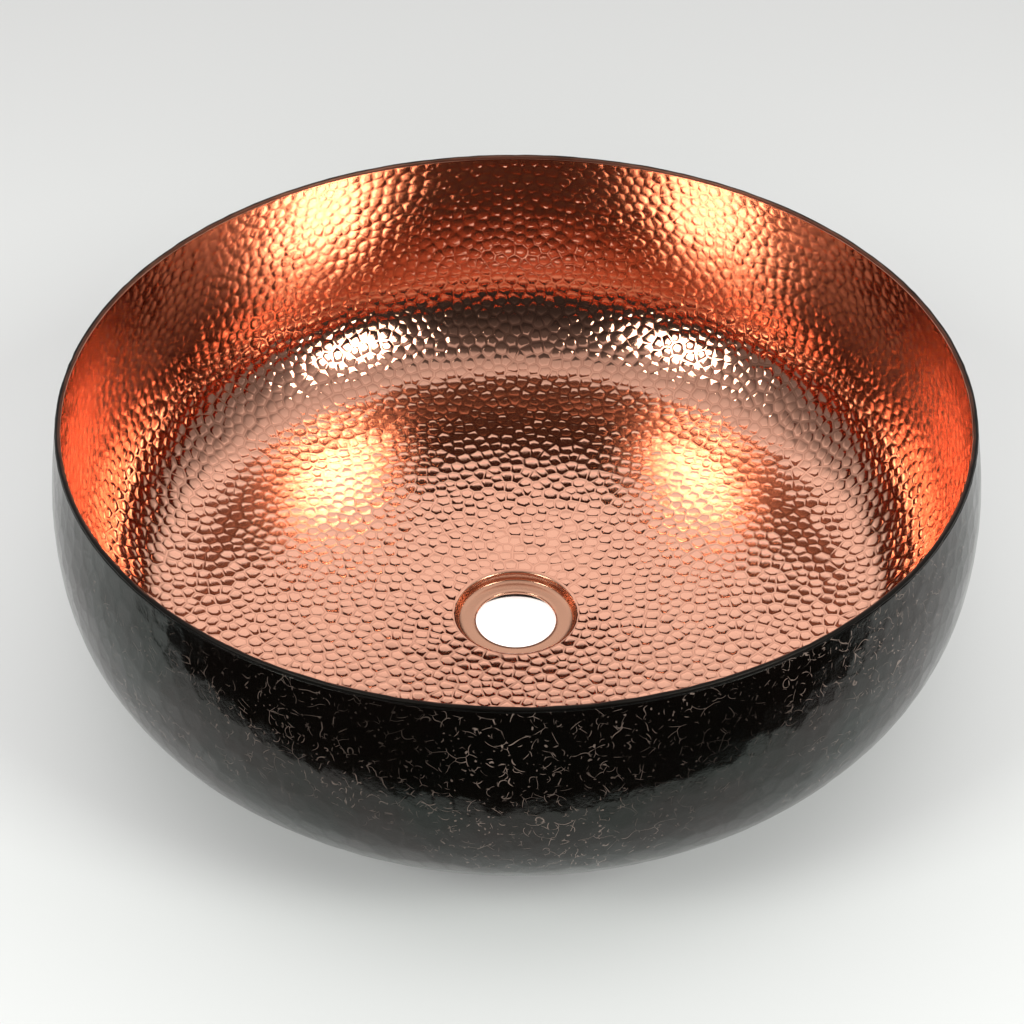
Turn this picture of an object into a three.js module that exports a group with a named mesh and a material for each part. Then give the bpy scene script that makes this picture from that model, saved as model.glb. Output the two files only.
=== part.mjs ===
// Double-walled vessel basin in hammered copper, in millimetres, +Z up.
// A bright inner basin with a pressed drain seat sits in a dark patinated outer shell.
// A round rod brazed over both sheet edges closes the rim, and a short collar hidden between
// the two sheets holds them apart round the drain's passage through the flat underside.
// The origin is the middle of the flat underside, on the surface that the basin stands on.

import * as THREE from 'three';

// Driving dimensions
const rimRadius = 200; // outer edge of the rim rod
const overallHeight = 150; // underside to the top of the rim rod
const bellyBulge = 6.8; // how far the belly stands out past the rim
const bellyDrop = 50; // depth of the widest place below the top of the rim
const baseRadius = 50; // flat part of the underside
const sideRoundness = 2.05; // exponent of the outline across, 2 is an ellipse
const lowerRoundness = 2.6; // exponent of the outline up and down
const shellThickness = 1.0; // outer copper sheet
const basinThickness = 1.2; // inner copper sheet
const rimRodDiameter = 2.4;
const drainHoleRadius = 19.4;
const drainSeatRadius = 29.3; // edge of the recess that the drain's flange drops into
const drainSeatDepth = 5.0;
const seatWallRun = 1.6; // how far the recess wall leans in from top to bottom
const passageRadius = 25.8; // hole in the outer shell and the collar, which the drain's nut passes
const collarHeight = 6.0; // hidden collar between the two sheets
const collarWall = 2.4;
const floorSlope = 0.12; // fall of the basin floor towards the drain, as rise over run
const kneeBlend = 10; // softness of the turn from wall to floor
const segments = 64;

// Clearances between pieces
const rimCavity = 0.4; // between the two sheets just under the rim rod
const bellyCavity = 1.5; // between the two sheets at the belly
const brazeGap = 0.3; // between a sheet's edge and the rim rod
const collarGap = 0.3; // above and below the collar

// Heights and radii that follow
const bellyHeight = overallHeight - bellyDrop;
const bellyRadius = rimRadius + bellyBulge;
const rodRadius = rimRodDiameter / 2;
const rodHeight = overallHeight - rodRadius;
const rodCircleRadius = rimRadius - rodRadius;
const sheetTop = overallHeight - rimRodDiameter - brazeGap;
const bundle = shellThickness + rimCavity + basinThickness;
const shellRimRadius = rodCircleRadius + bundle / 2;
const basinRimRadius = rodCircleRadius - bundle / 2;
const basinBellyRadius = bellyRadius - shellThickness - bellyCavity - basinThickness;
const recessFloorUnder = shellThickness + collarHeight + 2 * collarGap;
const recessFloor = recessFloorUnder + basinThickness;
const seatHeight = recessFloor + drainSeatDepth;

// Radius of the outer shell at a height, below the belly
function lowerRadius(height, inset) {
  const drop = (bellyHeight - height) / (bellyHeight - inset);
  const across = Math.pow(Math.max(1 - Math.pow(drop, lowerRoundness), 0), 1 / sideRoundness);
  return baseRadius + (bellyRadius - inset - baseRadius) * across;
}

// The side above the belly: a quarter wave from the rim in or out to the belly
function upperSide(rimSideRadius, bellySideRadius, top, steps) {
  const points = [];
  for (let i = 0; i <= steps; i += 1) {
    const share = i / steps;
    const radius = rimSideRadius + (bellySideRadius - rimSideRadius) * Math.sin((share * Math.PI) / 2);
    points.push(new THREE.Vector2(radius, top + (bellyHeight - top) * share));
  }
  return points;
}

// Outline of the outer shell's outside, from the rim down to the edge of the hole
function shellOutside() {
  const points = upperSide(shellRimRadius, bellyRadius, sheetTop, 5);
  const steps = 11;
  for (let i = 1; i <= steps; i += 1) {
    const height = bellyHeight * (1 - Math.sin(((i / steps) * Math.PI) / 2));
    points.push(new THREE.Vector2(lowerRadius(height, 0), height));
  }
  points.push(new THREE.Vector2(passageRadius, 0));
  return points;
}

// Distance from the seat's edge at belly height to the inner wall, along a ray turned down by angle
function reachToWall(angle) {
  const inset = bellyRadius - basinBellyRadius;
  const depth = bellyHeight - inset;
  const width = basinBellyRadius - baseRadius;
  let near = 0;
  let far = bellyRadius + bellyHeight;
  for (let i = 0; i < 50; i += 1) {
    const middle = (near + far) / 2;
    const across = Math.max(drainSeatRadius + middle * Math.cos(angle) - baseRadius, 0) / width;
    const down = (middle * Math.sin(angle)) / depth;
    const inside = Math.pow(across, sideRoundness) + Math.pow(down, lowerRoundness) < 1;
    near = inside ? middle : near;
    far = inside ? far : middle;
  }
  return near;
}

// Distance along the same ray to the sloping floor
function reachToFloor(angle) {
  return (bellyHeight - seatHeight) / (Math.sin(angle) + floorSlope * Math.cos(angle));
}

// Outline of the basin's inside, from the rim down to the edge of the recess
function basinInside() {
  const points = upperSide(basinRimRadius, basinBellyRadius, sheetTop, 5);
  const steps = 20;
  for (let i = 1; i <= steps; i += 1) {
    const angle = Math.pow(i / steps, 1.25) * (Math.PI / 2);
    const wall = reachToWall(angle);
    const floor = reachToFloor(angle);
    const blend = kneeBlend * Math.cos(angle);
    const overlap = Math.max(blend - Math.abs(wall - floor), 0);
    const softening = overlap > 0 ? (overlap * overlap) / (4 * blend) : 0;
    const reach = Math.min(wall, floor) - softening;
    const radius = drainSeatRadius + reach * Math.cos(angle);
    points.push(new THREE.Vector2(radius, bellyHeight - reach * Math.sin(angle)));
  }
  return points;
}

// The same outline moved sideways by a distance, along the normal at each point
function offsetOutline(points, distance) {
  return points.map((point, i) => {
    const before = points[Math.max(i - 1, 0)];
    const after = points[Math.min(i + 1, points.length - 1)];
    const along = new THREE.Vector2().subVectors(after, before).normalize();
    return new THREE.Vector2(point.x - along.y * distance, point.y + along.x * distance);
  });
}

// A closed ring turned from its section; the section closes on itself
function turned(section) {
  const closed = [...section, section[0].clone()];
  const area = closed.reduce((sum, point, i) => {
    const next = closed[Math.min(i + 1, closed.length - 1)];
    return sum + point.x * next.y - next.x * point.y;
  }, 0);
  const ordered = area > 0 ? closed : closed.reverse();
  const geometry = new THREE.LatheGeometry(ordered, segments);
  geometry.rotateX(Math.PI / 2);
  return geometry;
}

function outerShell() {
  const outside = shellOutside();
  const inside = offsetOutline(outside, -shellThickness);
  const last = inside.length - 1;
  inside[0].y = sheetTop;
  inside[last].set(passageRadius, shellThickness);
  return turned([...outside, ...inside.reverse()]);
}

function innerBasin() {
  const inside = basinInside();
  const outside = offsetOutline(inside, basinThickness);
  const last = outside.length - 1;
  outside[0].y = sheetTop;
  outside[last].set(drainSeatRadius + basinThickness / 2, seatHeight - basinThickness);
  inside.push(new THREE.Vector2(drainSeatRadius - seatWallRun, recessFloor));
  inside.push(new THREE.Vector2(drainHoleRadius, recessFloor));
  outside.push(new THREE.Vector2(drainSeatRadius - seatWallRun + basinThickness / 2, recessFloorUnder));
  outside.push(new THREE.Vector2(drainHoleRadius, recessFloorUnder));
  return turned([...inside, ...outside.reverse()]);
}

function rimRod() {
  const section = [];
  const sides = 10;
  for (let i = 0; i < sides; i += 1) {
    const angle = (i / sides) * 2 * Math.PI + Math.PI / 2;
    const radius = rodCircleRadius + rodRadius * Math.cos(angle);
    section.push(new THREE.Vector2(radius, rodHeight + rodRadius * Math.sin(angle)));
  }
  return turned(section);
}

function drainCollar() {
  const bottom = shellThickness + collarGap;
  const top = recessFloorUnder - collarGap;
  return turned([
    new THREE.Vector2(passageRadius, bottom),
    new THREE.Vector2(passageRadius + collarWall, bottom),
    new THREE.Vector2(passageRadius + collarWall, top),
    new THREE.Vector2(passageRadius, top),
  ]);
}

function addPiece(group, name, geometry, colour, roughness) {
  const material = new THREE.MeshStandardMaterial({ color: colour, roughness, metalness: 1 });
  const mesh = new THREE.Mesh(geometry, material);
  mesh.name = name;
  group.add(mesh);
}

const basin = new THREE.Group();
addPiece(basin, 'inner_basin', innerBasin(), 0xd98a66, 0.22);
addPiece(basin, 'outer_shell', outerShell(), 0x2b2622, 0.42);
addPiece(basin, 'rim_bead', rimRod(), 0x6b4436, 0.38);
addPiece(basin, 'drain_collar', drainCollar(), 0xb87a55, 0.4);

export default basin;
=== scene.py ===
import math
import random

import bpy
import numpy as np
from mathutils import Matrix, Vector, geometry, noise


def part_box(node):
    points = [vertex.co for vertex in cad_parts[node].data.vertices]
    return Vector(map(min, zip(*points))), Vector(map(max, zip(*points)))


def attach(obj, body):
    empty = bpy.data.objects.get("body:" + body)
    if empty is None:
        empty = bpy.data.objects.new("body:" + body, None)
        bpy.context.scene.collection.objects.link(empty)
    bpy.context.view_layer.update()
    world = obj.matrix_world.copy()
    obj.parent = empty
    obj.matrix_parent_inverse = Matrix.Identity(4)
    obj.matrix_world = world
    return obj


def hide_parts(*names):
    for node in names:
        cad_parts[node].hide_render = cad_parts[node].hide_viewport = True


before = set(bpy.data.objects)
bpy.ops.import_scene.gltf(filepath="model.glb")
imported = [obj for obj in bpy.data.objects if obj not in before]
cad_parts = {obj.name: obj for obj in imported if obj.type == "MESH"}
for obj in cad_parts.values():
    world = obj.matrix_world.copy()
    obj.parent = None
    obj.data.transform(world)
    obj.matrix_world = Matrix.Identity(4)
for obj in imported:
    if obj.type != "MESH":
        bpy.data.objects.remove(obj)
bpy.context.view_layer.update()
bpy.ops.object.select_all(action="DESELECT")


# ---- Camera ------------------------------------------------------------------------------
# Stands in front of the basin, a good third of a right angle above its rim, with a lens a
# little longer than normal, and looks down past the middle of the floor.
MM = 0.001
rim_low, rim_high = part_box("rim_bead")
rim_radius = rim_high.x
view_distance = 4.399 * rim_radius
view_elevation = math.radians(36.21)
look_down = math.radians(39.9)
step_left = 1.9 * MM
bpy.ops.object.camera_add(
    location=(
        -step_left,
        -view_distance * math.cos(view_elevation),
        rim_high.z + view_distance * math.sin(view_elevation),
    ),
    rotation=(math.pi / 2 - look_down, 0, 0),
)
camera = bpy.context.object
camera.name = "camera"
camera.data.lens = 70.3
camera.data.sensor_width = 36.0
camera.data.dof.use_dof = False
bpy.context.scene.camera = camera
bpy.context.scene.view_settings.view_transform = "Standard"


# ---- Studio ------------------------------------------------------------------------------
# A pale table top, two soft boxes in front to the left and right, and a room that is pale
# behind and above the basin and dark in front of it.
def new_material(name):
    material = bpy.data.materials.new(name)
    material.use_nodes = True
    return material, material.node_tree


def feed(tree, value, entry):
    """Gives a node's input a plain value, or joins another node's output to it."""
    if isinstance(value, bpy.types.NodeSocket):
        tree.links.new(value, entry)
    else:
        entry.default_value = value


def cloud(tree, scale, detail=2.0, output="Fac"):
    """Soft random patches that stay with the piece."""
    coord = tree.nodes.new("ShaderNodeTexCoord")
    node = tree.nodes.new("ShaderNodeTexNoise")
    node.inputs["Scale"].default_value = scale
    node.inputs["Detail"].default_value = detail
    tree.links.new(coord.outputs["Object"], node.inputs["Vector"])
    return node.outputs[output]


def blend(tree, factor, a, b):
    """A colour between two others."""
    node = tree.nodes.new("ShaderNodeMix")
    node.data_type = "RGBA"
    for name, value in (("Factor", factor), ("A", a), ("B", b)):
        feed(tree, value, node.inputs[name])
    return node.outputs["Result"]


def set_surface(tree, settings):
    for name, value in settings.items():
        feed(tree, value, tree.nodes["Principled BSDF"].inputs[name])


def table_finish():
    material, tree = new_material("pale_table")
    set_surface(tree, {
        "Base Color": blend(tree, cloud(tree, 1.5), (0.74, 0.74, 0.75, 1), (0.77, 0.77, 0.78, 1)),
        "Roughness": 0.55,
        "Specular IOR Level": 0.3,
    })
    return material


bpy.ops.mesh.primitive_plane_add(size=14, location=(0, 0, 0))
table = bpy.context.object
table.name = "table_top"
table.data.materials.append(table_finish())

box_turn = math.radians(52)  # from straight in front, to either side
box_elevation = math.radians(36.87)
box_distance = 1.9
box_width = 0.58


def soft_box(name, side, power):
    direction = Vector((
        side * math.sin(box_turn) * math.cos(box_elevation),
        -math.cos(box_turn) * math.cos(box_elevation),
        math.sin(box_elevation),
    ))
    place = Vector((0, 0, rim_high.z)) + direction * box_distance
    bpy.ops.object.light_add(type="AREA", location=place)
    light = bpy.context.object
    light.name = name
    light.data.shape = "SQUARE"
    light.data.size = box_width
    light.data.energy = power
    light.data.color = (0.94, 1.0, 0.93)
    light.rotation_euler = direction.to_track_quat("Z", "Y").to_euler()


soft_box("soft_box_left", -1, 12)
soft_box("soft_box_right", 1, 14.5)


def fill_light(name, place, size, power):
    """A soft light that brightens the room and isn't mirrored."""
    bpy.ops.object.light_add(type="AREA", location=place)
    light = bpy.context.object
    light.name = name
    light.data.shape = "DISK"
    light.data.size = size
    light.data.energy = power
    light.data.color = (1.0, 0.985, 0.97)
    light.visible_glossy = False
    light.rotation_euler = Vector(place).to_track_quat("Z", "Y").to_euler()


fill_light("overhead_fill", (0, -0.8, 3.2), 2.4, 14)
fill_light("front_fill", (0, -2.4, 1.3), 2.0, 36)

world = bpy.data.worlds.new("studio_room")
bpy.context.scene.world = world
world.use_nodes = True
room = world.node_tree
room_coord = room.nodes.new("ShaderNodeTexCoord")
room_axes = room.nodes.new("ShaderNodeSeparateXYZ")
room.links.new(room_coord.outputs["Generated"], room_axes.inputs["Vector"])


def ramp(tree, value, start, stop, low=0.0, high=1.0, kind="LINEAR"):
    """Goes from low to high as the value goes from start to stop."""
    node = tree.nodes.new("ShaderNodeMapRange")
    node.interpolation_type = kind
    for name, number in (("From Min", start), ("From Max", stop), ("To Min", low), ("To Max", high)):
        node.inputs[name].default_value = number
    tree.links.new(value, node.inputs["Value"])
    return node.outputs["Result"]


def combine(tree, operation, *values):
    """One number made from others."""
    node = tree.nodes.new("ShaderNodeMath")
    node.operation = operation
    for value, entry in zip(values, node.inputs):
        feed(tree, value, entry)
    return node.outputs["Value"]


def room_step(axis, start, stop, low, high):
    """Brightness along one axis of the direction that the room is seen in."""
    return ramp(room, room_axes.outputs[axis], start, stop, low, high, "SMOOTHSTEP")


ceiling = room_step("Z", 0.45, 0.85, 0.25, 0.80)
wall_behind = room_step("Y", -0.05, 0.5, 0.02, 1.0)
wall_upward = room_step("Z", 0.25, 0.75, 0.34, 1.06)
lit = combine(room, "MAXIMUM", ceiling, combine(room, "MULTIPLY", wall_behind, wall_upward))
dark_front = room_step("Y", -0.54, -0.44, 0.14, 0.68)
dim_middle = room_step("Y", -0.44, 0.25, 0.0, 0.34)
unshaded = combine(room, "ADD", dark_front, dim_middle)
room_light = room.nodes["Background"]
room.links.new(combine(room, "MULTIPLY", lit, unshaded), room_light.inputs["Strength"])
room_light.inputs["Color"].default_value = (1.0, 0.985, 0.97, 1)

# a black sheet laid round the front of the table that only the metal mirrors: painted dark reflection,
# which the camera doesn't see and which neither lights nor shades the table
dark_sheet_centre = 0.33  # behind the basin's middle
dark_sheet_inner, dark_sheet_outer = 0.64, 5.0
dark_sheet_start, dark_sheet_sweep, dark_sheet_strips = -142, 104, 32
dark_sheet_turns = [
    math.radians(dark_sheet_start + dark_sheet_sweep * k / dark_sheet_strips) for k in range(dark_sheet_strips + 1)
]
dark_sheet_points = [
    (r * math.cos(t), dark_sheet_centre + r * math.sin(t), 1 * MM)
    for t in dark_sheet_turns
    for r in (dark_sheet_inner, dark_sheet_outer)
]
dark_sheet_faces = [(2 * k, 2 * k + 1, 2 * k + 3, 2 * k + 2) for k in range(dark_sheet_strips)]
dark_sheet_mesh = bpy.data.meshes.new("dark_reflection_sheet")
dark_sheet_mesh.from_pydata(dark_sheet_points, [], dark_sheet_faces)
dark_sheet = bpy.data.objects.new("dark_reflection_sheet", dark_sheet_mesh)
bpy.context.collection.objects.link(dark_sheet)
dark_reflection_paint, dark_sheet_tree = new_material("dark_reflection_sheet")
set_surface(dark_sheet_tree, {"Base Color": (0.004, 0.004, 0.004, 1), "Specular IOR Level": 0.0})
dark_sheet.data.materials.append(dark_reflection_paint)
# hidden from the camera, from diffuse light and from shadows, so that the sheet only paints dark
# reflections
dark_sheet.visible_camera = False
dark_sheet.visible_diffuse = False
dark_sheet.visible_shadow = False

# a white patch on the table under the drain hole, which glows: painted light, so that the hole looks
# bright where the basin's shade falls on the table
glow_radius = 25.5 * MM
glow_lift = 0.1 * MM
bpy.ops.mesh.primitive_circle_add(
    vertices=64, radius=glow_radius, fill_type="NGON", location=(0, 0, glow_lift)
)
hole_glow_patch = bpy.context.object
hole_glow_patch.name = "hole_glow_patch"
glow_paint, glow_tree = new_material("glowing_hole_patch")
set_surface(glow_tree, {
    "Base Color": (0.9, 0.9, 0.9, 1),
    # the glow is painted light, not a lamp
    "Emission Color": (1.0, 0.985, 0.96, 1),
    "Emission Strength": 0.75,
})
hole_glow_patch.data.materials.append(glow_paint)


# ---- Inner basin -------------------------------------------------------------------------
# Copper sheet, 1.2 mm, sunk and then hammered all over from the inside with a ball-faced
# hammer in rings, polished and lacquered. The drain seat is pressed into its floor.
def cad_outline(node):
    """The closed section of a turned CAD node, walked downwards from its inner top corner."""
    same = 0.02  # mm, in a section rounded to 0.01 mm
    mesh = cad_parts[node].data
    key = [(round(v.co.x / MM, 2), round(v.co.z / MM, 2)) for v in mesh.vertices]
    flat = [abs(v.co.y) < 1e-6 and v.co.x > 0 for v in mesh.vertices]
    joined = {}
    for edge in mesh.edges:
        a, b = edge.vertices
        if flat[a] and flat[b] and key[a] != key[b]:
            joined.setdefault(key[a], set()).add(key[b])
            joined.setdefault(key[b], set()).add(key[a])
    top = max(z for _, z in joined)
    start = min(point for point in joined if abs(point[1] - top) < same)
    walked = [start]
    step = min(joined[start], key=lambda point: point[1])
    while step != start:
        walked.append(step)
        ahead = [point for point in joined[step] if point != walked[-2]]
        step = ahead[0]
    return np.array(walked) * MM


def smooth_outline(points, spacing):
    """An even outline through the points, round where they turn."""
    steps = 40
    dense = []
    padded = np.vstack([2 * points[0] - points[1], points, 2 * points[-1] - points[-2]])
    for i in range(1, len(padded) - 2):
        p0, p1, p2, p3 = padded[i - 1 : i + 3]
        k0, k1, k2 = (np.linalg.norm(b - a) for a, b in ((p0, p1), (p1, p2), (p2, p3)))
        m1 = (p2 - p1) / k1 * k0 / (k0 + k1) + (p1 - p0) / k0 * k1 / (k0 + k1)
        m2 = (p3 - p2) / k2 * k1 / (k1 + k2) + (p2 - p1) / k1 * k2 / (k1 + k2)
        for t in np.linspace(0, 1, steps, endpoint=False):
            a = 2 * t**3 - 3 * t**2 + 1
            b = t**3 - 2 * t**2 + t
            c = -2 * t**3 + 3 * t**2
            d = t**3 - t**2
            dense.append(a * p1 + b * k1 * m1 + c * p2 + d * k1 * m2)
    dense.append(points[-1])
    dense = np.array(dense)
    run = np.r_[0, np.cumsum(np.linalg.norm(np.diff(dense, axis=0), axis=1))]
    even = np.linspace(0, run[-1], int(run[-1] / spacing) + 2)
    return np.c_[np.interp(even, run, dense[:, 0]), np.interp(even, run, dense[:, 1])]


class Skin:
    """A surface of revolution: where a point is, and which way its face looks."""

    def __init__(self, outline, side):
        self.r, self.z = outline[:, 0], outline[:, 1]
        self.run = np.r_[0, np.cumsum(np.hypot(np.diff(self.r), np.diff(self.z)))]
        along = np.gradient(outline, self.run, axis=0)
        along /= np.linalg.norm(along, axis=1)[:, None]
        self.nr, self.nz = side * along[:, 1], -side * along[:, 0]
        turns = 0.5 * (1 / self.r[1:] + 1 / self.r[:-1]) * np.diff(self.run)
        self.turn = np.r_[0, np.cumsum(turns)]
        self.side = side

    def radius(self, run):
        return np.interp(run, self.run, self.r)

    def chart(self, run):
        """The radius of the ring at this run in a flat chart that keeps small shapes."""
        return np.exp(-np.interp(run, self.run, self.turn))

    def unchart(self, ring):
        return np.interp(-np.log(ring), self.turn, self.run)

    def place(self, run, angle):
        r, z = self.radius(run), np.interp(run, self.run, self.z)
        return np.c_[r * np.cos(angle), r * np.sin(angle), z]

    def facing(self, run, angle):
        nr, nz = np.interp(run, self.run, self.nr), np.interp(run, self.run, self.nz)
        found = np.c_[nr * np.cos(angle), nr * np.sin(angle), nz]
        return found / np.linalg.norm(found, axis=1)[:, None]


def sway(points, wave, height):
    """The slow unevenness of hand-worked sheet, and its slope."""
    step = wave * 0.05

    def level(p):
        return noise.noise((p[0] / wave, p[1] / wave, p[2] / wave)) * height

    rise = np.array([level(p) for p in points])
    slope = np.array(
        [
            [
                (level((p[0] + step, p[1], p[2])) - h) / step,
                (level((p[0], p[1] + step, p[2])) - h) / step,
                (level((p[0], p[1], p[2] + step)) - h) / step,
            ]
            for p, h in zip(points, rise)
        ]
    )
    return rise, slope


def circle_centres(spots, corners):
    """The middle of the circle through each triangle's corners."""
    a, b, c = (spots[corners[:, i]] for i in range(3))
    ab, bc, ca = a[:, 1] - b[:, 1], b[:, 1] - c[:, 1], c[:, 1] - a[:, 1]
    twice = a[:, 0] * bc + b[:, 0] * ca + c[:, 0] * ab
    aa, bb, cc = (p[:, 0] ** 2 + p[:, 1] ** 2 for p in (a, b, c))
    x = aa * bc + bb * ca + cc * ab
    y = aa * (c[:, 0] - b[:, 0]) + bb * (a[:, 0] - c[:, 0]) + cc * (b[:, 0] - a[:, 0])
    return np.c_[x, y] / (2 * twice)[:, None]


def cells_of(sites, rows, first_ring, last_ring):
    """The cell of each blow in the flat chart, as corners in order. The outermost and innermost
    rows are mirrored over their border, so that the cells end on it.
    Returns the cells, the corners, and for each corner 1 on the first border, 2 on the last and
    0 between them."""
    real = len(sites)
    ring = np.hypot(sites[:, 0], sites[:, 1])
    flat = [sites]
    for border, at_edge in ((first_ring, rows < 2), (last_ring, rows > rows.max() - 2)):
        flat.append(sites[at_edge] * (border**2 / ring[at_edge] ** 2)[:, None])
    flat = np.vstack(flat)
    made = geometry.delaunay_2d_cdt([Vector(p) for p in flat], [], [], 0, 1e-9)
    spots = np.array([tuple(v) for v in made[0]])
    source = np.array([names[0] if names else real for names in made[3]])
    triangles = np.array([t for t in made[2] if len(t) == 3])
    ours = source[triangles] < real
    triangles, ours = triangles[ours.any(axis=1)], ours[ours.any(axis=1)]
    ridge = circle_centres(spots, triangles)
    ring = np.hypot(ridge[:, 0], ridge[:, 1])
    border = ~ours.all(axis=1)
    nearer_first = abs(np.log(ring / first_ring)) < abs(np.log(ring / last_ring))
    kind = np.where(border & nearer_first, 1, np.where(border, 2, 0))
    target = np.where(kind == 1, first_ring, np.where(kind == 2, last_ring, ring))
    target = np.clip(target, last_ring, first_ring)
    ridge = ridge * (target / ring)[:, None]
    around = {}
    for t, names in enumerate(triangles):
        for i in names:
            if source[i] < real:
                around.setdefault(int(source[i]), []).append(t)
    where = {int(source[i]): spots[i] for i in range(len(spots)) if source[i] < real}
    cells = []
    for i in sorted(around):
        ts = np.array(around[i])
        away = ridge[ts] - where[i]
        cells.append((where[i], ts[np.argsort(np.arctan2(away[:, 1], away[:, 0]))]))
    return cells, ridge, kind


def join_near(cells, ridge, kind, least):
    """Joins corners that lie closer together than this share of their cell's size."""
    parent = np.arange(len(ridge))

    def root(k):
        while parent[k] != k:
            k = parent[k]
        return k

    for centre, ts in cells:
        size = np.mean(np.linalg.norm(ridge[ts] - centre, axis=1))
        for k, j in zip(ts, np.roll(ts, -1)):
            if np.linalg.norm(ridge[k] - ridge[j]) < least * size:
                k, j = root(k), root(j)
                if k != j:
                    keep, drop = (k, j) if kind[k] or not kind[j] else (j, k)
                    parent[drop] = keep
    merged = np.array([root(k) for k in range(len(ridge))])
    joined = []
    for centre, ts in cells:
        ring = [k for k, j in zip(merged[ts], np.roll(merged[ts], 1)) if k != j]
        if len(set(ring)) > 2:
            joined.append((centre, np.array(ring)))
    return joined


def strike(skin, start, stop, pitch, draw):
    """The cell round each blow in the flat chart. The blows fall in rings and stray, and are then
    evened out. Returns the cells, their corners and the border that each corner is on."""
    ring_gap = 0.866  # rings of round marks nest, as a share of the marks' width
    stray = 0.5
    calm_at_border = 0.3
    evening_rounds = 3
    shortest_side = 0.26
    rows = max(1, round((stop - start) / (ring_gap * pitch)))
    sites, row_of = [], []
    for row in range(rows):
        middle = start + (row + 0.5) / rows * (stop - start)
        count = max(6, round(2 * math.pi * float(skin.radius(middle)) / pitch))
        phase = draw.random() * 2 * math.pi
        calm = calm_at_border if row in (0, rows - 1) else 1.0
        for k in range(count):
            angle = phase + (k + draw.uniform(-stray, stray)) * 2 * math.pi / count
            run = middle + draw.uniform(-stray, stray) * ring_gap * pitch * calm
            ring = float(skin.chart(run))
            sites.append((ring * math.cos(angle), ring * math.sin(angle)))
            row_of.append(row)
    sites, row_of = np.array(sites), np.array(row_of)
    first_ring, last_ring = float(skin.chart(start)), float(skin.chart(stop))
    for _ in range(evening_rounds):
        cells, ridge, kind = cells_of(sites, row_of, first_ring, last_ring)
        sites = np.array([0.5 * centre + 0.5 * ridge[ts].mean(axis=0) for centre, ts in cells])
    cells, ridge, kind = cells_of(sites, row_of, first_ring, last_ring)
    cells = join_near(cells, ridge, kind, shortest_side)
    used = sorted(set(np.concatenate([ts for _, ts in cells]).tolist()))
    renumber = {k: n for n, k in enumerate(used)}
    cells = [(centre, [renumber[k] for k in ts]) for centre, ts in cells]
    return cells, ridge[used], kind[used]


def sink_dishes(cells, ridge, steep_at, tilt, draw):
    """A steep ring and a nearly flat middle inside each cell, still in the flat chart. near is 0
    on a ridge, 0.5 on a dish's steep ring and 1 round its middle."""
    side_share, corner_share, middle_share = 0.83, 0.81, 0.58
    middle_slope, mean_slope = 0.2, 0.6  # as shares of the slope at the steep ring
    flat, near = [ridge], [np.zeros(len(ridge))]
    slope, drop = [np.zeros(len(ridge))], [np.zeros(len(ridge))]
    faces, owner, middles, leans = [], [], [], []
    total = len(ridge)
    for cell, (centre, ts) in enumerate(cells):
        n = len(ts)
        spokes = ridge[ts] - centre
        long = np.linalg.norm(spokes, axis=1)
        sides = np.linalg.norm(0.5 * (spokes + np.roll(spokes, -1, axis=0)), axis=1).mean()
        edge = spokes * np.minimum(side_share * sides / long, corner_share)[:, None]
        wide = np.linalg.norm(edge, axis=1)
        flat += [centre + edge, centre + edge * middle_share]
        near += [np.full(n, 0.5), np.ones(n)]
        deep = steep_at(centre) * draw.uniform(0.7, 1.3)
        slope += [np.full(n, deep), np.full(n, middle_slope * deep)]
        fall = 0.5 * deep * (long - wide)
        floor = (fall + mean_slope * deep * (1 - middle_share) * wide).mean()
        drop += [fall, np.full(n, floor)]
        middles.append(centre)
        leans.append((draw.uniform(-tilt, tilt), draw.uniform(-tilt, tilt)))
        for k in range(n):
            j = (k + 1) % n
            faces.append((ts[k], ts[j], total + j, total + k))
            faces.append((total + k, total + j, total + n + j, total + n + k))
        faces.append(tuple(range(total + n, total + 2 * n)))
        owner += [cell] * (2 * n + 1)
        total += 2 * n
    return {
        "flat": np.vstack(flat), "near": np.concatenate(near), "slope": np.concatenate(slope),
        "drop": np.concatenate(drop), "faces": faces, "owner": owner,
        "middles": np.array(middles), "leans": np.array(leans),
    }


def dish_normals(skin, dishes, places, facing, grade):
    """A normal for each corner of each face, bent by its dish, the blow's lean and the sheet's
    own unevenness."""
    middles = dishes["middles"]
    middle_run = skin.unchart(np.hypot(middles[:, 0], middles[:, 1]))
    middles = skin.place(middle_run, np.arctan2(middles[:, 1], middles[:, 0]))
    corner = np.array([k for face in dishes["faces"] for k in face])
    cell_of = np.array([o for face, o in zip(dishes["faces"], dishes["owner"]) for _ in face])
    look = facing[corner]
    away = places[corner] - middles[cell_of]
    away -= np.sum(away * look, axis=1)[:, None] * look
    away /= np.linalg.norm(away, axis=1)[:, None]
    across = np.c_[-look[:, 1], look[:, 0], np.zeros(len(look))]
    across /= np.linalg.norm(across, axis=1)[:, None]
    down = np.cross(look, across)
    bend = grade[corner]
    bend -= np.sum(bend * look, axis=1)[:, None] * look
    lean = dishes["near"][corner][:, None] * dishes["leans"][cell_of]
    normals = look - dishes["slope"][corner][:, None] * away - bend
    normals += lean[:, :1] * across + lean[:, 1:] * down
    return normals / np.linalg.norm(normals, axis=1)[:, None]


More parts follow.
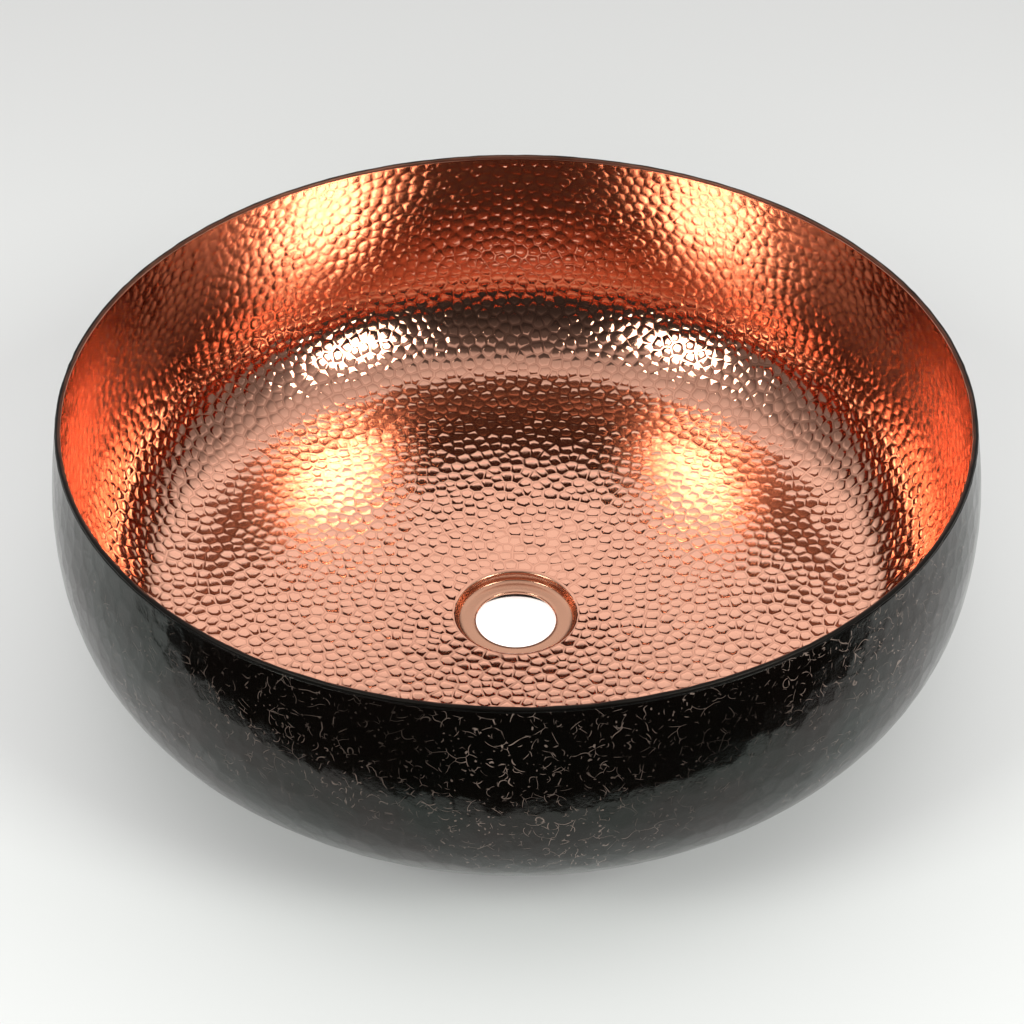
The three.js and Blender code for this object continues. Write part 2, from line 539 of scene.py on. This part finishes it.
def hammer_marks(skin, start, stop, pitch, steep, seed, tilt, wave=45 * MM, heave=0.2 * MM):
    """Dishes left by a hammer, edge to edge between two runs of a skin. pitch is their width,
    steep the slope of their edge at start and at stop, tilt the most that a blow leans, and wave
    and heave the width and height of the sheet's unevenness.
    Returns points, faces, a normal for each corner of each face, how near each point is to a
    dish's middle, and the first and last rings."""
    draw = random.Random(seed)
    cells, ridge, kind = strike(skin, start, stop, pitch, draw)

    def steep_at(centre):
        share = (float(skin.unchart(np.linalg.norm(centre))) - start) / (stop - start)
        return steep[0] + share * (steep[1] - steep[0])

    dishes = sink_dishes(cells, ridge, steep_at, tilt, draw)
    flat = dishes["flat"]
    ring = np.hypot(flat[:, 0], flat[:, 1])
    run = skin.unchart(ring)
    run[: len(ridge)][kind == 1] = start
    run[: len(ridge)][kind == 2] = stop
    angle = np.arctan2(flat[:, 1], flat[:, 0])
    places, facing = skin.place(run, angle), skin.facing(run, angle)

    slow, grade = sway(places, wave, heave)
    fade = np.clip(np.minimum(run - start, stop - run) / (2 * pitch), 0, 1)
    lift = (slow - 0.5 * heave) * fade - dishes["drop"] * skin.radius(run) / ring
    if skin.side < 0:
        lift = np.minimum(lift, 0)
    borders = [
        sorted((float(angle[k]), int(k)) for k in range(len(ridge)) if kind[k] == side)
        for side in (1, 2)
    ]
    return {
        "points": places + facing * lift[:, None], "faces": dishes["faces"],
        "normals": dish_normals(skin, dishes, places, facing, grade * fade[:, None]),
        "near": dishes["near"], "first": borders[0], "last": borders[1],
    }


class Sheet:
    """Gathers the points and faces of one piece of sheet before its mesh is made."""

    def __init__(self, side):
        self.points, self.faces, self.near = [], [], []
        self.corner_normals = []
        self.side = side

    def add_marks(self, marks):
        base = len(self.points)
        self.points.extend(map(tuple, marks["points"]))
        self.near.extend(marks["near"])
        corner = 0
        for face in marks["faces"]:
            self.faces.append(tuple(base + k for k in face))
            self.corner_normals.append(marks["normals"][corner : corner + len(face)])
            corner += len(face)
        first = [(angle, base + k) for angle, k in marks["first"]]
        last = [(angle, base + k) for angle, k in marks["last"]]
        return first, last

    def add_ring(self, radius, height, count):
        """A plain ring of points, marked as such by a nearness past a dish's middle."""
        base = len(self.points)
        turns = [2 * math.pi * k / count - math.pi for k in range(count)]
        for angle in turns:
            self.points.append((radius * math.cos(angle), radius * math.sin(angle), height))
            self.near.append(2.0)
        return [(angle, base + k) for k, angle in enumerate(turns)]

    def lace(self, outer, inner):
        """Faces between two rings, each a list of (angle, point) sorted by angle."""
        i = j = 0
        n, m = len(outer), len(inner)
        while i < n or j < m:
            next_outer = outer[(i + 1) % n][0] + 2 * math.pi * ((i + 1) // n)
            next_inner = inner[(j + 1) % m][0] + 2 * math.pi * ((j + 1) // m)
            a, b = outer[i % n][1], inner[j % m][1]
            if j >= m or (i < n and next_outer <= next_inner):
                self.faces.append((a, outer[(i + 1) % n][1], b))
                i += 1
            else:
                self.faces.append((a, inner[(j + 1) % m][1], b))
                j += 1
            self.corner_normals.append(None)

    def carry_on(self, before, rings, count):
        """Carries the sheet on from a ring through plain ones, each a (radius, height)."""
        for radius, height in rings:
            here = self.add_ring(radius, height, count)
            self.lace(before, here)
            before = here
        return before

    def finish(self, name):
        mesh = bpy.data.meshes.new(name)
        mesh.from_pydata(self.points, [], [face[:: self.side] for face in self.faces])
        mesh.shade_smooth()
        normals = []
        for face, given in zip(self.faces, self.corner_normals):
            if given is None:
                normals.extend([(0.0, 0.0, 0.0)] * len(face))
            else:
                normals.extend(map(tuple, given[:: self.side]))
        mesh.normals_split_custom_set(normals)
        near = mesh.attributes.new("dish", "FLOAT", "POINT")
        near.data.foreach_set("value", np.array(self.near, np.float32))
        piece = bpy.data.objects.new(name, mesh)
        bpy.context.collection.objects.link(piece)
        return piece


def attribute(tree, name):
    node = tree.nodes.new("ShaderNodeAttribute")
    node.attribute_name = name
    return node.outputs["Fac"]


def bright_copper():
    material, tree = new_material("hammered_bright_copper")
    patches = cloud(tree, 14, 5)
    tone = blend(tree, patches, (0.84, 0.415, 0.287, 1), (0.88, 0.46, 0.327, 1))
    dish = attribute(tree, "dish")
    # the pressed seat, which polishing doesn't reach
    unpolished = ramp(tree, dish, 1.1, 1.9)
    tarnished = blend(tree, unpolished, tone, (0.60, 0.32, 0.215, 1))
    # a darker line round each dish, between its ridge and its steep ring: painted shade, standing in
    # for the dark arcs that the dishes mirror
    from_line = combine(tree, "ABSOLUTE", combine(tree, "SUBTRACT", dish, 0.24))
    painted_edge_shade = ramp(tree, from_line, 0.04, 0.26, 0.34, 0.0)
    polish = ramp(tree, patches, 0.0, 1.0, 0.07, 0.13)
    set_surface(tree, {
        "Base Color": blend(tree, painted_edge_shade, tarnished, (0.36, 0.12, 0.07, 1)),
        "Metallic": 1.0,
        "Roughness": combine(tree, "MULTIPLY_ADD", unpolished, 0.14, polish),
    })
    return material


basin_outline = cad_outline("inner_basin")
hole_radius = basin_outline[:, 0].min()
at_hole = 0.01 * MM
down_to_hole = int(np.argmax(basin_outline[:, 0] < hole_radius + at_hole))
basin_face = basin_outline[: down_to_hole + 1]
seat_edge, seat_floor = basin_face[-3], basin_face[-2]
tuck = 0.6 * MM  # how far each sheet runs up into the rim rod
sheet_top = rim_low.z + tuck
bowl_part = basin_face[:-2].copy()
bowl_part[0, 1] = sheet_top
bowl_skin = Skin(smooth_outline(bowl_part, 1 * MM), 1)
plain_border = 1.0 * MM  # left unhammered round the seat
bowl_marks = hammer_marks(
    bowl_skin, 0.0, float(bowl_skin.run[-1]) - plain_border,
    pitch=6.4 * MM, steep=(0.13, 0.19), seed=7, tilt=0.035,
)
basin = Sheet(1)
bowl_top, bowl_edge = basin.add_marks(bowl_marks)

# the pressed seat: a rolled edge, a short leaning wall, a rolled foot and a flat floor, then the
# hole's eased edge, the underside and the back of the sheet
turn_count = 144
seat_foot = seat_floor[0] - 0.45 * MM
hole_ease = 0.35 * MM
seat_wall = [
    (seat_edge[0] - 0.2 * MM, seat_edge[1] - 0.25 * MM),
    (seat_edge[0] - 0.65 * MM, seat_edge[1] - 0.9 * MM),
    (seat_edge[0] - 0.95 * MM, seat_edge[1] - 2.0 * MM),
    (seat_floor[0] + 0.35 * MM, seat_floor[1] + 1.4 * MM),
    (seat_floor[0] + 0.05 * MM, seat_floor[1] + 0.5 * MM),
    (seat_foot, seat_floor[1] + 0.1 * MM),
]
seat_flat = [
    (seat_foot + share * (hole_radius - seat_foot), seat_floor[1]) for share in (0.25, 0.5, 0.75, 0.92)
]
seat_lip = [(hole_radius, seat_floor[1] - hole_ease)]
basin_back = [*basin_outline[down_to_hole + 1 :], (basin_outline[-1][0], sheet_top)]
back_top = basin.carry_on(bowl_edge, [*seat_wall, *seat_flat, *seat_lip, *basin_back], turn_count)
basin.lace(back_top, bowl_top)
inner_basin = basin.finish("hammered_basin")
inner_basin.data.materials.append(bright_copper())
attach(inner_basin, "root")
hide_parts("inner_basin")


# ---- Outer shell -------------------------------------------------------------------------
# Copper sheet, 1 mm, planished with a flat-faced hammer, then blackened with patina and waxed.
# The patina has crazed along the edges of the hammer's flats, where copper shows through.
def crazed_cells(tree, feature, size, curl):
    """Cells of this size in metres, with their outlines bent a little."""
    coord = tree.nodes.new("ShaderNodeTexCoord")
    bent = tree.nodes.new("ShaderNodeVectorMath")
    bent.operation = "MULTIPLY_ADD"
    bent.inputs[1].default_value = (curl * size,) * 3
    tree.links.new(cloud(tree, 1.1 / size, 0.0, "Color"), bent.inputs[0])
    tree.links.new(coord.outputs["Object"], bent.inputs[2])
    node = tree.nodes.new("ShaderNodeTexVoronoi")
    node.feature = feature
    node.inputs["Scale"].default_value = 1 / size
    tree.links.new(bent.outputs["Vector"], node.inputs["Vector"])
    return node.outputs["Distance"]


def crescents(tree, size, at, width):
    """Arcs at this distance from the middle of each cell, where a hammer's edge bit."""
    away = combine(tree, "SUBTRACT", crazed_cells(tree, "F1", size, 0.5), at)
    return ramp(tree, combine(tree, "ABSOLUTE", away), width * 0.4 / size, width / size, 1.0, 0.0)


def broken(tree, line, scale, start, stop):
    """The line, where random patches are high."""
    return combine(tree, "MULTIPLY", line, ramp(tree, cloud(tree, scale, 0.0), start, stop))


def black_patina():
    material, tree = new_material("black_brown_patina")
    seams = ramp(tree, crazed_cells(tree, "DISTANCE_TO_EDGE", 9 * MM, 0.8), 0.006, 0.016, 1.0, 0.0)
    veins = broken(tree, seams, 230, 0.50, 0.60)
    bites = broken(tree, crescents(tree, 10 * MM, 0.47, 0.15 * MM), 250, 0.60, 0.70)
    nicks = broken(tree, crescents(tree, 6 * MM, 0.42, 0.14 * MM), 300, 0.59, 0.69)
    specks = ramp(tree, cloud(tree, 620, 0.0), 0.76, 0.84)
    for more in (bites, nicks, specks):
        veins = combine(tree, "MAXIMUM", veins, more)
    worn = ramp(tree, cloud(tree, 17, 3.0), 0.40, 0.62, 0.10, 0.85)
    shown = combine(tree, "MULTIPLY", veins, worn)

    patches = cloud(tree, 22, 6)
    dark = blend(tree, patches, (0.0007, 0.001, 0.0008, 1), (0.003, 0.0016, 0.0012, 1))
    green_or_red = ramp(tree, patches, 0.38, 0.62)
    relief = tree.nodes.new("ShaderNodeBump")
    relief.inputs["Distance"].default_value = 0.1 * MM
    relief.inputs["Strength"].default_value = 0.5
    tree.links.new(cloud(tree, 700, 4), relief.inputs["Height"])
    set_surface(tree, {
        "Base Color": blend(tree, shown, dark, (0.22, 0.165, 0.14, 1)),
        "Specular Tint": blend(tree, green_or_red, (0.82, 1.0, 0.89, 1), (1.0, 0.88, 0.82, 1)),
        "Roughness": ramp(tree, cloud(tree, 60, 4), 0.35, 0.65, 0.11, 0.17),
        "Normal": relief.outputs["Normal"],
        "IOR": 1.38,
    })
    return material


shell_outline = cad_outline("outer_shell")[::-1]
shell_hole = shell_outline[:, 0].min()
to_hole = int(np.argmax(shell_outline[:, 0] < shell_hole + at_hole))
shell_face = shell_outline[: to_hole + 1].copy()
base_edge = shell_face[-2]
side_part = shell_face[:-1]
side_part[0, 1] = sheet_top
side_skin = Skin(smooth_outline(side_part, 1 * MM), -1)
side_marks = hammer_marks(
    side_skin, 0.0, float(side_skin.run[-1]),
    pitch=11 * MM, steep=(0.035, 0.035), seed=23, tilt=0.025, wave=60 * MM, heave=0.22 * MM,
)
shell = Sheet(-1)
side_top, side_bottom = shell.add_marks(side_marks)
base_rings = [(base_edge[0] - 4 * MM, 0.0), (shell_hole + 0.5 * MM, 0.0), (shell_hole, 0.3 * MM)]
shell_back = [*shell_outline[to_hole + 1 :], (shell_outline[-1][0], sheet_top)]
shell_back_top = shell.carry_on(side_bottom, [*base_rings, *shell_back], turn_count)
shell.lace(shell_back_top, side_top)
outer_shell = shell.finish("patinated_shell")
outer_shell.data.materials.append(black_patina())
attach(outer_shell, "root")
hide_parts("outer_shell")


# ---- Rim rod -----------------------------------------------------------------------------
# Round copper rod, 2.4 mm, bent to a ring, brazed over the edges of both sheets and dressed
# with a light hammer. It takes the patina outside and is rubbed back to copper inside.
def rim_finish():
    material, tree = new_material("rubbed_rim_copper")
    wear = combine(tree, "MULTIPLY_ADD", cloud(tree, 60, 5), 0.7, attribute(tree, "inward"))
    rubbed = ramp(tree, wear, 0.85, 1.35)
    set_surface(tree, {
        "Base Color": blend(tree, rubbed, (0.012, 0.0095, 0.008, 1), (0.22, 0.10, 0.07, 1)),
        "Metallic": 0.85,
        "Roughness": 0.42,
    })
    return material


rod_radius = (rim_high.z - rim_low.z) / 2
ring_radius = rim_radius - rod_radius
rod_middle = Vector((0, 0, rim_low.z + rod_radius))
dressing = 0.1 * MM  # room left for the hammer's work inside the rod's size
bpy.ops.mesh.primitive_torus_add(
    major_radius=ring_radius,
    minor_radius=rod_radius - dressing,
    major_segments=256,
    minor_segments=16,
    location=rod_middle,
)
rim_rod = bpy.context.object
rim_rod.name = "rim_rod"
bpy.ops.object.transform_apply(location=True)
blow_width = 6.5 * MM
blow_depth = 0.28 * MM
deepest = 0.25 * MM
inward = rim_rod.data.attributes.new("inward", "FLOAT", "POINT")
for vertex in rim_rod.data.vertices:
    flat = Vector((vertex.co.x, vertex.co.y, 0)).normalized() * ring_radius
    out = (vertex.co - rod_middle - flat).normalized()
    angle = math.atan2(vertex.co.y, vertex.co.x)
    beat = angle * ring_radius / blow_width
    sideways = out.x * math.cos(angle) + out.y * math.sin(angle)
    dent = noise.noise((beat, 0.6 * sideways, 0.6 * out.z))
    vertex.co += out * min(max(dent * blow_depth, -deepest), dressing)
    inward.data[vertex.index].value = 0.5 - 0.5 * out.dot(flat.normalized())
bpy.ops.object.shade_smooth()
rim_rod.data.materials.append(rim_finish())
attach(rim_rod, "root")
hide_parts("rim_bead")


# ---- Drain collar ------------------------------------------------------------------------
# A short turned copper ring, soldered between the two sheets round the hole, so that the
# drain passes the cavity in a closed way.
def plain_copper():
    material, tree = new_material("tarnished_copper")
    set_surface(tree, {
        "Base Color": blend(tree, cloud(tree, 90, 4), (0.50, 0.24, 0.16, 1), (0.24, 0.11, 0.075, 1)),
        "Metallic": 0.9,
        "Roughness": 0.42,
    })
    return material


collar_low, collar_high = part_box("drain_collar")
bpy.ops.object.select_all(action="DESELECT")
bpy.ops.mesh.primitive_cylinder_add(
    vertices=turn_count,
    radius=collar_high.x,
    depth=collar_high.z - collar_low.z,
    end_fill_type="NGON",
    location=(0, 0, (collar_low.z + collar_high.z) / 2),
)
collar = bpy.context.object
collar.name = "drain_collar_ring"
bpy.ops.object.transform_apply(location=True)
bpy.ops.object.mode_set(mode="EDIT")
bpy.ops.mesh.select_mode(type="FACE")
bpy.ops.mesh.select_all(action="DESELECT")
bpy.ops.object.mode_set(mode="OBJECT")
for face in collar.data.polygons:
    face.select = abs(face.normal.z) > 0.5
bpy.ops.object.mode_set(mode="EDIT")
bpy.ops.mesh.inset(thickness=collar_high.x - shell_hole, use_boundary=True)
bpy.ops.mesh.bridge_edge_loops()
bpy.ops.object.mode_set(mode="OBJECT")
bevel = collar.modifiers.new("eased_edges", "BEVEL")
bevel.width = 0.25 * MM
bevel.segments = 2
bevel.limit_method = "ANGLE"
bpy.ops.object.modifier_apply(modifier="eased_edges")
bpy.ops.object.shade_smooth_by_angle(angle=math.radians(40))
collar.data.materials.append(plain_copper())
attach(collar, "root")
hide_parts("drain_collar")
